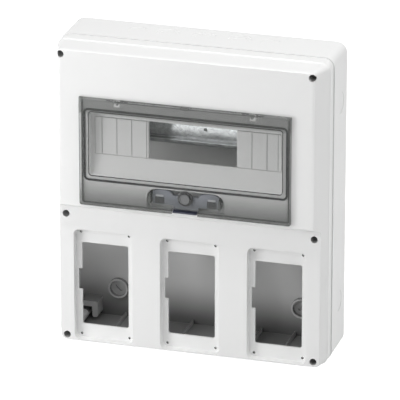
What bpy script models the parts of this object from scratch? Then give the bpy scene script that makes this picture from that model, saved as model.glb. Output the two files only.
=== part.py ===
import bmesh
import bpy
from math import cos, pi, sin, sqrt
from mathutils import Matrix

# A surface-mounting breaker panel box: a drafted plastic shell with a smoked window over a module rail
# and three socket seats below it. Metres. X runs right, Y from the front to the wall, Z up.
# The origin is the middle of the face that goes on the wall.

# Fits and walls
GAP = 0.0003  # between pieces that touch
OVERLAP = 0.001  # how far shapes of one moulding reach into each other
REACH = 0.01  # how far a cutter runs past the face it opens
WALL = 0.0025
BOARD_DEPTH = 0.104  # wall to the raised front

# Rear base
BASE_WIDTH = 0.320
BASE_HEIGHT = 0.366
BASE_DEPTH = 0.0586
BASE_CORNER = 0.012
BACK_ROUND = 0.003
BACK_WALL = 0.003
RIM_WIDTH = 0.0085
RIM_THICKNESS = 0.005
GROOVE_WIDTH = 0.002
GROOVE_DEPTH = 0.002
GROOVE_FROM_SIDE = 0.0012
RIB_THICKNESS = 0.0018
RIB_HEIGHT = 0.005
RIB_SPOTS = (-0.102, -0.021, 0.062, 0.102)
FENCE_THICKNESS = 0.0065
FENCE_ROUND = 0.002
FENCE_ARM = 0.0195
FENCE_FROM_SCREW = 0.0095
COLLAR_RADIUS = 0.01225
COLLAR_HEIGHT = 0.005
COLLAR_FROM_SIDE = 0.050
COLLAR_FROM_END = 0.038
COLLAR_SLOT_LENGTH = 0.0105
COLLAR_SLOT_WIDTH = 0.0037
COLLAR_SLOT_DEPTH = 0.002

# Knock-outs: thin discs in the base's walls, in line on the depth of the base
KNOCKOUT_FROM_WALL = 0.029
KNOCKOUT_STEP = 0.0005
SMALL_KNOCKOUT = 0.0227
LARGE_KNOCKOUT = 0.0285
INNER_KNOCKOUT = 0.0205
SIDE_KNOCKOUT = 0.025
KNOCKOUT_PITCH = 0.042
OUTER_KNOCKOUT_X = 0.078
SIDE_KNOCKOUT_FROM_END = 0.063

# Front cover
COVER_INSET = 0.001
FLANGE_DEPTH = 0.0145
FLANGE_SLOPE = 0.0014
SHOULDER_STEP = 0.0014
SIDE_DRAFT = 0.0071
END_DRAFT = 0.0009
EDGE_SIDE = 0.0045
EDGE_END = 0.0016
EDGE_DEPTH = 0.0045
FLANGE_CORNER = 0.010
SHOULDER_CORNER = 0.008
EDGE_CORNER = 0.005
FRONT_CORNER = 0.0035
LOWER_SETBACK = 0.0153
STEP_BELOW_MIDDLE = 0.0068
STEP_FALL = 0.0082
LOWER_ROUND = 0.0016

# Cover screws and their towers
SCREW_FROM_SIDE = 0.014
SCREW_FROM_END = 0.0097
SCREW_BELOW_STEP = 0.0091
BORE_RADIUS = 0.0042
TOWER_RADIUS = 0.0056
TOWER_ROOT_RADIUS = 0.0065
TOWER_ROOT_DEPTH = 0.011
BOSS_HEIGHT = 0.021
BOSS_RADIUS = 0.0055
SCREW_SEAT_HEIGHT = 0.032  # from the base's boss to the head's seat
SCREW_HEAD_RADIUS = 0.0036
SCREW_HEAD_HEIGHT = 0.0032
SHANK_RADIUS = 0.0019
SHANK_BITE = 0.013

# Socket seats
SEAT_WIDTH = 0.0692
SEAT_FROM_SIDE = 0.0228
SEAT_HEIGHT = 0.1360
SEAT_FROM_END = 0.0047
SEAT_DEPTH = 0.0093
SEAT_CORNER = 0.007
CUTOUT_WIDTH = 0.0552
CUTOUT_HEIGHT = 0.1013
CUTOUT_FROM_SEAT_TOP = 0.0184
CUTOUT_CORNER = 0.0025
NOTCH_DEPTH = 0.0042
NOTCH_HEIGHT = 0.0256
NOTCH_FROM_CUTOUT_TOP = 0.0331
SEAT_HOLE_RADIUS = 0.0015
SEAT_HOLE_X = 0.0285
SEAT_HOLE_FROM_TOP = 0.0058
SEAT_HOLE_PITCH = 0.1256

# Module window
RAIL_ABOVE_MIDDLE = 0.0772
APERTURE_WIDTH = 0.2182
APERTURE_HEIGHT = 0.0449
PANEL_DEPTH = 0.010
PANEL_SIDE = 0.0044
PANEL_TOP = 0.0071
PANEL_BOTTOM = 0.0234
WINDOW_CORNER = 0.003
APRON_DEPTH = 0.0045
APRON_BELOW_APERTURE = 0.0022
MODULE = 0.0175
STRIP_PLAY = 0.0005
STRIP_LEFT_LENGTH = 0.0628
STRIP_RIGHT_LENGTH = 0.0514
STRIP_LIP = 0.0016
STRIP_LIP_THICKNESS = 0.0014
SCORE_WIDTH = 0.0007
SCORE_DEPTH = 0.0009
SCORE_FROM_LEFT_END = 0.0022
SCORE_AT_RIGHT_END = 0.0036

# Rail
RAIL_HEIGHT = 0.035
RAIL_INNER = 0.025
RAIL_STEP = 0.0075
RAIL_SHEET = 0.001
RAIL_FROM_SIDE = 0.032
RAIL_BEHIND_PANEL = 0.043
RAIL_HOLE_RADIUS = 0.0022
RAIL_HOLE_X = 0.0065
PILLAR_FROM_RAIL_END = 0.016
PILLAR_RADIUS = 0.006
RAIL_SCREW_HEAD = 0.0038
RAIL_SCREW_HEAD_HEIGHT = 0.0026
RAIL_SCREW_SHANK = 0.0016
RAIL_SCREW_BITE = 0.012

# Door and seal
SEAL_MARGIN = 0.0034
SEAL_WIDTH = 0.0024
SEAL_CORNER = 0.006
DOOR_THICKNESS = 0.0024
DOOR_SIDE_BAND = 0.0042
DOOR_TOP_BAND = 0.0135
DOOR_BOTTOM_BAND = 0.0289
DOOR_CORNER = 0.0025
SKIRT_INSET = 0.0023
SKIRT_WIDTH = 0.0014
BARREL_RADIUS = 0.002
HINGE_X = 0.079
LUG_WIDTH = 0.0084
LUG_RADIUS = 0.00135
LUG_PLAY = 0.00025
LUG_FOOT = 0.0085
LUG_SLOT_DROP = 0.0027
PIN_RADIUS = 0.0006
PIN_PLAY = 0.0002
PIN_LENGTH = 0.024
GRIP_SLOT_WIDTH = 0.009
GRIP_SLOT_HEIGHT = 0.0017
GRIP_SLOT_FROM_TOP = 0.0018
FINGER_NOTCH_WIDTH = 0.030
FINGER_NOTCH_HEIGHT = 0.0062

# Latch rocker and lock plug, placed from the door's lower edge
LATCH_WIDTH = 0.078
LATCH_THICKNESS = 0.005
LATCH_BEHIND_FRONT = 0.0015
LATCH_LOW = 0.0083
LATCH_BRIDGE_HEIGHT = 0.0118
LATCH_DOME_HEIGHT = 0.0060
LATCH_DOME_WIDTH = 0.025
LATCH_DOME_INSET = 0.0115
LATCH_WELL_WIDTH = 0.011
LATCH_WELL_HEIGHT = 0.0082
LATCH_WELL_DEPTH = 0.0005
LATCH_WELL_FROM_SIDE = 0.003
LATCH_WELL_FROM_LOW = 0.0006
LATCH_PIVOT_HEIGHT = 0.0163
LATCH_PIVOT_BEHIND_FRONT = 0.004
LIP_PLAY = 0.0006
LIP_SETBACK = 0.0006
LIP_THICKNESS = 0.0018
LIP_HEIGHT = 0.0024
LIP_ABOVE_EDGE = 0.0012
LEDGE_THICKNESS = 0.002
LEDGE_HEIGHT = 0.002
LATCH_PIN_RADIUS = 0.0014
LATCH_PIN_LENGTH = 0.0106
LATCH_PIN_SHOWS = 0.0014
EAR_THICKNESS = 0.0022
EAR_HALF_HEIGHT = 0.0064
EAR_CHAMFER = 0.002
EAR_BEHIND_FRONT = 0.008
HOOK_X = 0.018
HOOK_WIDTH = 0.008
HOOK_HEIGHT = 0.0025
HOOK_BARB = 0.0012
HOOK_REACH = 0.0025  # past the back of the pocket's floor
POCKET_PLAY = 0.002
POCKET_DEPTH = 0.010
POCKET_FROM_DOOR_EDGE = 0.0012
POCKET_HEIGHT = 0.0258
POCKET_TOP_CORNER = 0.012
HOOK_SLOT_PLAY = 0.0015
HOOK_SLOT_BELOW = 0.003
HOOK_SLOT_ABOVE = 0.001
PLUG_HEIGHT = 0.0187
PLUG_RADIUS = 0.0061
PLUG_RING_RADIUS = 0.00895
PLUG_RING_THICKNESS = 0.0014

# Facets
CORNER_STEPS = 4
SMALL_CORNER_STEPS = 3
ROUND_SIDES = 16
SMALL_ROUND_SIDES = 12

# Planes and edges that several pieces share
HALF_WIDTH = BASE_WIDTH / 2
HALF_HEIGHT = BASE_HEIGHT / 2
FRONT_Y = -BOARD_DEPTH
LOWER_Y = FRONT_Y + LOWER_SETBACK
SEAT_Y = LOWER_Y + SEAT_DEPTH
SEAM_Y = -BASE_DEPTH
FLANGE_Y = SEAM_Y - FLANGE_DEPTH
BOSS_Y = -BACK_WALL - BOSS_HEIGHT
SCREW_SEAT_Y = BOSS_Y - SCREW_SEAT_HEIGHT
STEP_TOP = -STEP_BELOW_MIDDLE
STEP_FOOT = STEP_TOP - STEP_FALL

FLANGE_HALF_WIDTH = HALF_WIDTH - COVER_INSET
FLANGE_HALF_HEIGHT = HALF_HEIGHT - COVER_INSET
SHOULDER_HALF_WIDTH = FLANGE_HALF_WIDTH - SHOULDER_STEP
SHOULDER_HALF_HEIGHT = FLANGE_HALF_HEIGHT - SHOULDER_STEP

SCREW_X = HALF_WIDTH - SCREW_FROM_SIDE
SCREW_SPOTS = {
    "top": (HALF_HEIGHT - SCREW_FROM_END, FRONT_Y),
    "mid": (STEP_FOOT - SCREW_BELOW_STEP, LOWER_Y),
    "low": (SCREW_FROM_END - HALF_HEIGHT, LOWER_Y),
}
SIDES = {"left": -1, "right": 1}

SEAT_PITCH = HALF_WIDTH - SEAT_FROM_SIDE - SEAT_WIDTH / 2
SEAT_LOW = SEAT_FROM_END - HALF_HEIGHT
SEAT_HIGH = SEAT_LOW + SEAT_HEIGHT
CUTOUT_HIGH = SEAT_HIGH - CUTOUT_FROM_SEAT_TOP
CUTOUT_LOW = CUTOUT_HIGH - CUTOUT_HEIGHT

PANEL_Y = FRONT_Y + PANEL_DEPTH
RAIL_HALF_LENGTH = HALF_WIDTH - RAIL_FROM_SIDE
PILLAR_X = RAIL_HALF_LENGTH - PILLAR_FROM_RAIL_END
RAIL_Y = PANEL_Y + RAIL_BEHIND_PANEL
RAIL_WEB_Y = RAIL_Y + RAIL_STEP - RAIL_SHEET
RAIL_BACK_Y = RAIL_Y + RAIL_STEP
APERTURE_HALF_WIDTH = APERTURE_WIDTH / 2
APERTURE_LOW = RAIL_ABOVE_MIDDLE - APERTURE_HEIGHT / 2
APERTURE_HIGH = RAIL_ABOVE_MIDDLE + APERTURE_HEIGHT / 2
WINDOW_HALF_WIDTH = APERTURE_HALF_WIDTH + PANEL_SIDE
WINDOW_LOW = APERTURE_LOW - PANEL_BOTTOM
WINDOW_HIGH = APERTURE_HIGH + PANEL_TOP

SEAL_HALF_WIDTH = WINDOW_HALF_WIDTH + SEAL_MARGIN + SEAL_WIDTH
SEAL_LOW = WINDOW_LOW - SEAL_MARGIN - SEAL_WIDTH
SEAL_HIGH = WINDOW_HIGH + SEAL_MARGIN + SEAL_WIDTH
DOOR_HALF_WIDTH = SEAL_HALF_WIDTH + DOOR_SIDE_BAND
DOOR_LOW = SEAL_LOW - DOOR_BOTTOM_BAND
DOOR_HIGH = SEAL_HIGH + DOOR_TOP_BAND
HINGE_Y = FRONT_Y - GAP - BARREL_RADIUS
HINGE_Z = DOOR_HIGH - BARREL_RADIUS
DOOR_FRONT_Y = HINGE_Y - BARREL_RADIUS
DOOR_BACK_Y = DOOR_FRONT_Y + DOOR_THICKNESS

LATCH_HALF_WIDTH = LATCH_WIDTH / 2
LATCH_Y = FRONT_Y + LATCH_BEHIND_FRONT
LATCH_BACK_Y = LATCH_Y + LATCH_THICKNESS
PIVOT_Y = FRONT_Y + LATCH_PIVOT_BEHIND_FRONT
PIVOT_Z = DOOR_LOW + LATCH_PIVOT_HEIGHT
EAR_X = LATCH_HALF_WIDTH + LIP_PLAY
LATCH_PIN_END = EAR_X + EAR_THICKNESS + LATCH_PIN_SHOWS
LEDGE_LOW = DOOR_LOW + LEDGE_HEIGHT
LEDGE_HIGH = LEDGE_LOW + LEDGE_THICKNESS
POCKET_HALF_WIDTH = LATCH_PIN_END + POCKET_PLAY
POCKET_LOW = DOOR_LOW + POCKET_FROM_DOOR_EDGE
POCKET_HIGH = POCKET_LOW + POCKET_HEIGHT
POCKET_Y = FRONT_Y + POCKET_DEPTH
HOOK_LOW = DOOR_LOW + LATCH_LOW + GAP
PLUG_Z = DOOR_LOW + PLUG_HEIGHT

WHITE = dict(colour=(0.86, 0.86, 0.85), roughness=0.42)
SMOKE = dict(colour=(0.30, 0.31, 0.31), roughness=0.08, alpha=0.45)
RUBBER = dict(colour=(0.06, 0.06, 0.065), roughness=0.75)
NAVY = dict(colour=(0.07, 0.08, 0.14), roughness=0.4)
GREY = dict(colour=(0.24, 0.25, 0.26), roughness=0.35)
ZINC = dict(colour=(0.66, 0.69, 0.71), roughness=0.32, metallic=1.0)
STEEL = dict(colour=(0.45, 0.45, 0.46), roughness=0.35, metallic=1.0)


def clear_scene():
    for thing in list(bpy.data.objects):
        bpy.data.objects.remove(thing)


def collection(name):
    made = bpy.data.collections.new(name)
    bpy.context.scene.collection.children.link(made)
    return made


clear_scene()
PARTS = collection("breaker_panel_box")
CUTTERS = collection("cutters")


def finish(name, colour, roughness, metallic=0.0, alpha=1.0):
    made = bpy.data.materials.new(name)
    made.use_nodes = True
    shader = made.node_tree.nodes["Principled BSDF"]
    shader.inputs["Base Color"].default_value = (*colour, 1.0)
    shader.inputs["Roughness"].default_value = roughness
    shader.inputs["Metallic"].default_value = metallic
    shader.inputs["Alpha"].default_value = alpha
    return made


FINISHES = {
    "white_plastic": finish("white_plastic", **WHITE),
    "smoked_plastic": finish("smoked_plastic", **SMOKE),
    "rubber": finish("rubber", **RUBBER),
    "navy_plastic": finish("navy_plastic", **NAVY),
    "grey_plastic": finish("grey_plastic", **GREY),
    "galvanised": finish("galvanised", **ZINC),
    "steel": finish("steel", **STEEL),
}


# Building blocks


def place(name, mesh, matrix=None):
    """A shape that isn't a part until shown() makes it one."""
    shape = bpy.data.objects.new(name, mesh)
    CUTTERS.objects.link(shape)
    if matrix is not None:
        shape.matrix_world = matrix
    shape.hide_render = True
    shape.display_type = "WIRE"
    return shape


def shown(shape, name, material, parent=None):
    """Makes the shape a named part with its finish."""
    CUTTERS.objects.unlink(shape)
    PARTS.objects.link(shape)
    shape.name = name
    shape.hide_render = False
    shape.display_type = "TEXTURED"
    shape.data.materials.append(FINISHES[material])
    if parent is not None:
        world = shape.matrix_world.copy()
        shape.parent = parent
        shape.matrix_parent_inverse = parent.matrix_world.inverted()
        shape.matrix_world = world
    return shape


def axis_empty(name, y, z):
    """An empty on a joint's axis, which runs along X."""
    empty = bpy.data.objects.new(name, None)
    PARTS.objects.link(empty)
    empty.location = (0, y, z)
    bpy.context.view_layer.update()
    return empty


def from_bmesh(name, shape, matrix=None):
    mesh = bpy.data.meshes.new(name)
    shape.to_mesh(mesh)
    shape.free()
    return place(name, mesh, matrix)


def box(name, x, y, z):
    """A box between two values on each axis."""
    shape = bmesh.new()
    bmesh.ops.create_cube(shape, size=1.0)
    size = Matrix.Diagonal((x[1] - x[0], y[1] - y[0], z[1] - z[0], 1))
    bmesh.ops.transform(shape, matrix=size, verts=shape.verts)
    middle = [(low + high) / 2 for low, high in (x, y, z)]
    return from_bmesh(name, shape, Matrix.Translation(middle))


TURN = {
    "x": Matrix.Rotation(pi / 2, 4, "Y"),
    "y": Matrix.Rotation(pi / 2, 4, "X"),
    "z": Matrix.Identity(4),
}


def rod(name, radius, axis, start, end, across, sides=ROUND_SIDES):
    """A cylinder along an axis from start to end; across gives its place on the other two axes."""
    shape = bmesh.new()
    bmesh.ops.create_cone(
        shape, cap_ends=True, segments=sides, radius1=radius, radius2=radius, depth=abs(end - start)
    )
    middle = list(across)
    middle.insert("xyz".index(axis), (start + end) / 2)
    return from_bmesh(name, shape, Matrix.Translation(middle) @ TURN[axis])


def arc(centre, radius, start, end, steps):
    """Points on an arc, ends included; angles in quarter turns."""
    points = []
    for step in range(steps + 1):
        angle = (start + (end - start) * step / steps) * pi / 2
        points.append((centre[0] + radius * cos(angle), centre[1] + radius * sin(angle)))
    return points


def rounded(left, right, low, high, radius, steps=CORNER_STEPS):
    """A rectangle with round corners, anticlockwise."""
    points = []
    corners = (
        (right - radius, high - radius),
        (left + radius, high - radius),
        (left + radius, low + radius),
        (right - radius, low + radius),
    )
    for quarter, corner in enumerate(corners):
        points += arc(corner, radius, quarter, quarter + 1, steps)
    return points


def plate(name, loops, thickness, matrix):
    """A flat outline with its holes, as a filled 2D curve of that thickness, made a mesh."""
    curve = bpy.data.curves.new(name, "CURVE")
    curve.dimensions = "2D"
    curve.fill_mode = "BOTH"
    curve.extrude = thickness / 2
    for loop in loops:
        spline = curve.splines.new("POLY")
        spline.points.add(len(loop) - 1)
        for point, (across, up) in zip(spline.points, loop):
            point.co = (across, up, 0, 1)
        spline.use_cyclic_u = True
    guide = bpy.data.objects.new(name, curve)
    CUTTERS.objects.link(guide)
    bpy.context.view_layer.update()
    graph = bpy.context.evaluated_depsgraph_get()
    mesh = bpy.data.meshes.new_from_object(guide.evaluated_get(graph))
    bpy.data.objects.remove(guide)
    shape = bmesh.new()
    shape.from_mesh(mesh)
    bmesh.ops.remove_doubles(shape, verts=shape.verts, dist=1e-6)
    bmesh.ops.recalc_face_normals(shape, faces=shape.faces)
    shape.to_mesh(mesh)
    shape.free()
    return place(name, mesh, matrix)


def front_plate(name, loops, start_y, end_y):
    """An outline seen from the front, in X and Z, that runs from start_y to end_y."""
    middle = Matrix.Translation((0, (start_y + end_y) / 2, 0))
    return plate(name, loops, end_y - start_y, middle @ TURN["y"])


def side_plate(name, loop, start_x, end_x):
    """An outline seen from the side, in Y and Z, that runs from start_x to end_x."""
    along_x = Matrix(((0, 0, 1, (start_x + end_x) / 2), (1, 0, 0, 0), (0, 1, 0, 0), (0, 0, 0, 1)))
    return plate(name, [loop], end_x - start_x, along_x)


def loft(name, sections):
    """A skin over outlines in X and Z, each at its own Y, closed at both ends."""
    shape = bmesh.new()
    rings = []
    for y, loop in sections:
        points = [shape.verts.new((x, y, z)) for x, z in loop]
        rings.append([shape.edges.new((points[i - 1], points[i])) for i in range(len(points))])
    for first, second in zip(rings, rings[1:]):
        bmesh.ops.bridge_loops(shape, edges=first + second)
    bmesh.ops.edgeloop_fill(shape, edges=rings[0])
    bmesh.ops.edgeloop_fill(shape, edges=rings[-1])
    bmesh.ops.recalc_face_normals(shape, faces=shape.faces)
    return from_bmesh(name, shape)


def turned(name, profile, across):
    """A piece turned about an axis along Y: profile points are radius and Y, from the front backwards."""
    mesh = bpy.data.meshes.new(name)
    points = [(radius, 0, -y) for radius, y in profile]
    mesh.from_pydata(points, [(i, i + 1) for i in range(len(points) - 1)], [])
    shape = place(name, mesh, Matrix.Translation((across[0], 0, across[1])) @ TURN["y"])
    spin = shape.modifiers.new("turn", "SCREW")
    spin.steps = ROUND_SIDES
    spin.render_steps = ROUND_SIDES
    spin.use_merge_vertices = True
    spin.merge_threshold = 0.00001
    return shape


def boolean(shape, operation, others):
    """One Boolean of the shape with all the others together, at rest until switch_on()."""
    group = bpy.data.collections.new(f"{shape.name}_{operation.lower()}")
    for other in others:
        group.objects.link(other)
    step = shape.modifiers.new(operation.lower(), "BOOLEAN")
    step.operation = operation
    step.operand_type = "COLLECTION"
    step.collection = group
    step.solver = "EXACT"
    step.show_viewport = False
    return shape


def cut(shape, *cutters):
    return boolean(shape, "DIFFERENCE", cutters)


def join(shape, *others):
    return boolean(shape, "UNION", others)


def switch_on(shapes):
    for shape in shapes:
        for step in shape.modifiers:
            step.show_viewport = True


def settled(shape):
    """The shape with its modifiers made permanent, so that its edges can be picked."""
    switch_on([shape])
    bpy.context.view_layer.update()
    graph = bpy.context.evaluated_depsgraph_get()
    mesh = bpy.data.meshes.new_from_object(shape.evaluated_get(graph))
    shape.modifiers.clear()
    shape.data = mesh
    return shape


# Rear base


def base_outline(inset):
    return rounded(
        inset - HALF_WIDTH,
        HALF_WIDTH - inset,
        inset - HALF_HEIGHT,
        HALF_HEIGHT - inset,
        max(BASE_CORNER - inset, BACK_ROUND),
    )


def knockouts():
    """Stepped discs in the four walls of the base."""
    rows = [(-OUTER_KNOCKOUT_X, SMALL_KNOCKOUT), (OUTER_KNOCKOUT_X, SMALL_KNOCKOUT)]
    rows += [(step * KNOCKOUT_PITCH, LARGE_KNOCKOUT) for step in (-1, 0, 1)]
    side_z = HALF_HEIGHT - SIDE_KNOCKOUT_FROM_END
    found = []
    for side in (-1, 1):
        face = side * HALF_HEIGHT
        for x, size in rows:
            steps = [(size, 1)] if size == SMALL_KNOCKOUT else [(size, 1), (INNER_KNOCKOUT, 2)]
            for wide, deep in steps:
                floor = face - side * KNOCKOUT_STEP * deep
                spot = (x, -KNOCKOUT_FROM_WALL)
                found.append(rod("knockout", wide / 2, "z", floor, face + side * REACH, spot))
        face = side * HALF_WIDTH
        for z in (-side_z, side_z):
            floor = face - side * KNOCKOUT_STEP
            spot = (-KNOCKOUT_FROM_WALL, z)
            found.append(rod("knockout", SIDE_KNOCKOUT / 2, "x", floor, face + side * REACH, spot))
    return found


def fence(side, end):
    """The angle wall that stands round a corner boss: two arms with round ends."""
    corner_x = SCREW_X - FENCE_FROM_SCREW - FENCE_THICKNESS
    corner_z = HALF_HEIGHT - SCREW_FROM_END - FENCE_FROM_SCREW - FENCE_THICKNESS
    arms = (
        (corner_x, corner_x + FENCE_ARM, corner_z, corner_z + FENCE_THICKNESS, BOSS_Y),
        (corner_x, corner_x + FENCE_THICKNESS, corner_z, corner_z + FENCE_ARM, BOSS_Y + GAP),
    )
    found = []
    for near_x, far_x, near_z, far_z, top in arms:
        left, right = sorted((side * near_x, side * far_x))
        low, high = sorted((end * near_z, end * far_z))
        loop = rounded(left, right, low, high, FENCE_ROUND, SMALL_CORNER_STEPS)
        found.append(front_plate("fence", [loop], top, OVERLAP - BACK_WALL))
    return found


def post(name, radius, bore, start_y, hole_end, spot):
    """A round post on the back wall with a hole for a screw in its end."""
    solid = rod(name, radius, "y", start_y, OVERLAP - BACK_WALL, spot)
    return cut(solid, rod("pilot", bore, "y", start_y - REACH, hole_end, spot, SMALL_ROUND_SIDES))


def collar(side, end):
    """The raised ring round a wall-fixing point and the blind slot inside it."""
    spot = (side * (HALF_WIDTH - COLLAR_FROM_SIDE), end * (HALF_HEIGHT - COLLAR_FROM_END))
    ring = rod("collar", COLLAR_RADIUS, "y", -BACK_WALL - COLLAR_HEIGHT, OVERLAP - BACK_WALL, spot)
    well = rod("well", COLLAR_RADIUS - WALL, "y", -BACK_WALL - COLLAR_HEIGHT - REACH, REACH, spot)
    half = (COLLAR_SLOT_LENGTH - COLLAR_SLOT_WIDTH) / 2
    radius = COLLAR_SLOT_WIDTH / 2
    loop = arc((half, 0), radius, -1, 1, 2 * SMALL_CORNER_STEPS)
    loop += arc((-half, 0), radius, 1, 3, 2 * SMALL_CORNER_STEPS)
    slot = front_plate("slot", [loop], -OVERLAP, COLLAR_SLOT_DEPTH)
    slant = Matrix.Rotation(side * end * pi / 4, 4, "Y")
    middle = Matrix.Translation((spot[0], -BACK_WALL, spot[1]))
    slot.matrix_world = middle @ slant @ slot.matrix_world
    return cut(ring, well), slot


def make_rear_base():
    lean = BACK_ROUND * (1 - sqrt(0.5))
    base = loft(
        "base_body",
        [
            (0, base_outline(BACK_ROUND)),
            (-lean, base_outline(lean)),
            (-BACK_ROUND, base_outline(0)),
            (SEAM_Y, base_outline(0)),
        ],
    )
    rim_back = SEAM_Y + RIM_THICKNESS
    groove = [base_outline(GROOVE_FROM_SIDE), base_outline(GROOVE_FROM_SIDE + GROOVE_WIDTH)]
    sunk = [
        front_plate("hollow", [base_outline(WALL)], rim_back, -BACK_WALL),
        front_plate("mouth", [base_outline(RIM_WIDTH)], SEAM_Y - REACH, rim_back + OVERLAP),
        front_plate("groove", groove, SEAM_Y - REACH, SEAM_Y + GROOVE_DEPTH),
        *knockouts(),
    ]
    raised = []
    inner_end = HALF_HEIGHT - WALL
    for end in (-1, 1):
        span = sorted((end * (inner_end + OVERLAP), end * (inner_end - RIB_HEIGHT)))
        for x in RIB_SPOTS:
            across = (x - RIB_THICKNESS / 2, x + RIB_THICKNESS / 2)
            raised.append(box("rib", across, (rim_back - OVERLAP, OVERLAP - BACK_WALL), span))
    boss_hole = BOSS_Y + SHANK_BITE + OVERLAP
    pillar_y = RAIL_BACK_Y + GAP
    pillar_hole = pillar_y + RAIL_SCREW_BITE + OVERLAP
    for side in SIDES.values():
        for z, _ in SCREW_SPOTS.values():
            spot = (side * SCREW_X, z)
            raised.append(post("boss", BOSS_RADIUS, SHANK_RADIUS + GAP, BOSS_Y, boss_hole, spot))
            ends = (SEAM_Y - REACH, rim_back + OVERLAP)
            sunk.append(rod("tower_room", TOWER_RADIUS + GAP, "y", *ends, spot))
        for end in (-1, 1):
            ring, slot = collar(side, end)
            raised += [ring, *fence(side, end)]
            sunk.append(slot)
        spot = (side * PILLAR_X, RAIL_ABOVE_MIDDLE)
        raised.append(post("pillar", PILLAR_RADIUS, RAIL_SCREW_SHANK + GAP, pillar_y, pillar_hole, spot))
    join(cut(base, *sunk), *raised)
    return shown(base, "rear_base", "white_plastic")


def make_base_gasket():
    near = GROOVE_FROM_SIDE + GAP
    far = GROOVE_FROM_SIDE + GROOVE_WIDTH - GAP
    ring = front_plate(
        "gasket", [base_outline(near), base_outline(far)], SEAM_Y, SEAM_Y + GROOVE_DEPTH - GAP
    )
    return shown(ring, "base_gasket", "rubber")


# Front cover


def cover_outline(half_width, half_height, radius):
    return rounded(-half_width, half_width, -half_height, half_height, radius)


def cover_sections(inset, front_inset, end_y):
    """The cover's outlines from front to seam, or those of its hollow when inset by the wall."""
    edge_width = SHOULDER_HALF_WIDTH - SIDE_DRAFT
    edge_height = SHOULDER_HALF_HEIGHT - END_DRAFT
    round_share = 1 - sqrt(0.5)
    rows = [
        (FRONT_Y + front_inset, edge_width - EDGE_SIDE, edge_height - EDGE_END, FRONT_CORNER),
        (
            FRONT_Y + front_inset + (EDGE_DEPTH - front_inset) * round_share,
            edge_width - EDGE_SIDE * round_share,
            edge_height - EDGE_END * round_share,
            (FRONT_CORNER + EDGE_CORNER) / 2,
        ),
        (FRONT_Y + EDGE_DEPTH, edge_width, edge_height, EDGE_CORNER),
        (FLANGE_Y - FLANGE_SLOPE, SHOULDER_HALF_WIDTH, SHOULDER_HALF_HEIGHT, SHOULDER_CORNER),
        (FLANGE_Y, FLANGE_HALF_WIDTH, FLANGE_HALF_HEIGHT, FLANGE_CORNER),
        (end_y, FLANGE_HALF_WIDTH, FLANGE_HALF_HEIGHT, FLANGE_CORNER),
    ]
    return [
        (y, cover_outline(width - inset, height - inset, max(radius - inset, OVERLAP)))
        for y, width, height, radius in rows
    ]


def lower_front(name, inset):
    """What is missing in front of the set-back half: a slope under the raised half, then the lower face."""
    slope = STEP_FALL / LOWER_SETBACK
    rise = inset * sqrt(1 + slope * slope)
    near_y = FRONT_Y - REACH
    face_y = LOWER_Y + inset
    far_z = -HALF_HEIGHT - REACH
    loop = [
        (near_y, STEP_TOP + rise - slope * (near_y - FRONT_Y)),
        (face_y, STEP_TOP + rise - slope * (face_y - FRONT_Y)),
        (face_y, far_z),
        (near_y, far_z),
    ]
    far_x = HALF_WIDTH + REACH
    return side_plate(name, loop, -far_x, far_x)


def round_lower_edge(body):
    """Rounds the rim of the set-back face, but not the crease at the foot of the step."""
    settled(body)
    shape = bmesh.new()
    shape.from_mesh(body.data)
    near = 1e-6
    rim = []
    for edge in shape.edges:
        on_face = all(abs(point.co.y - LOWER_Y) < near for point in edge.verts)
        at_foot = all(abs(point.co.z - STEP_FOOT) < near for point in edge.verts)
        turns = len(edge.link_faces) == 2 and edge.calc_face_angle() > 0.3
        if on_face and turns and not at_foot:
            rim.append(edge)
    bmesh.ops.bevel(
        shape, geom=rim, offset=LOWER_ROUND, segments=2, profile=0.5, affect="EDGES", clamp_overlap=True
    )
    shape.to_mesh(body.data)
    shape.free()
    return body


def seat_outline(x):
    half = SEAT_WIDTH / 2
    return rounded(x - half, x + half, SEAT_LOW, SEAT_HIGH, SEAT_CORNER)


def seat_tub_outline(x):
    """The block round a seat: round at its top corners, square where it ends in the bottom wall."""
    half = SEAT_WIDTH / 2 + WALL
    radius = SEAT_CORNER + WALL
    high = SEAT_HIGH + WALL - radius
    low = SEAT_LOW - OVERLAP
    loop = [(x + half, low)] + arc((x + half - radius, high), radius, 0, 1, CORNER_STEPS)
    return loop + arc((x - half + radius, high), radius, 1, 2, CORNER_STEPS) + [(x - half, low)]


def cutout_outline(x):
    """The through cut-out of a seat, with its notch on the left."""
    left = x - CUTOUT_WIDTH / 2
    right = x + CUTOUT_WIDTH / 2
    notch_high = CUTOUT_HIGH - NOTCH_FROM_CUTOUT_TOP
    notch_low = notch_high - NOTCH_HEIGHT
    loop = rounded(left, right, CUTOUT_LOW, CUTOUT_HIGH, CUTOUT_CORNER, SMALL_CORNER_STEPS)
    notch = [
        (left, notch_high),
        (left - NOTCH_DEPTH, notch_high),
        (left - NOTCH_DEPTH, notch_low),
        (left, notch_low),
    ]
    half = len(loop) // 2
    return loop[:half] + notch + loop[half:]


def seats():
    """Blocks and cuts of the three socket seats."""
    raised, sunk = [], []
    behind = (SEAT_Y - OVERLAP, SEAT_Y + REACH)
    for x in (-SEAT_PITCH, 0, SEAT_PITCH):
        raised.append(front_plate("seat_tub", [seat_tub_outline(x)], LOWER_Y + OVERLAP, SEAT_Y + WALL))
        sunk.append(front_plate("seat", [seat_outline(x)], LOWER_Y - REACH, SEAT_Y))
        sunk.append(front_plate("cutout", [cutout_outline(x)], *behind))
        for side in SIDES.values():
            for drop in (SEAT_HOLE_FROM_TOP, SEAT_HOLE_FROM_TOP + SEAT_HOLE_PITCH):
                spot = (x + side * SEAT_HOLE_X, SEAT_HIGH - drop)
                sunk.append(rod("seat_hole", SEAT_HOLE_RADIUS, "y", *behind, spot, SMALL_ROUND_SIDES))
    return raised, sunk


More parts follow.
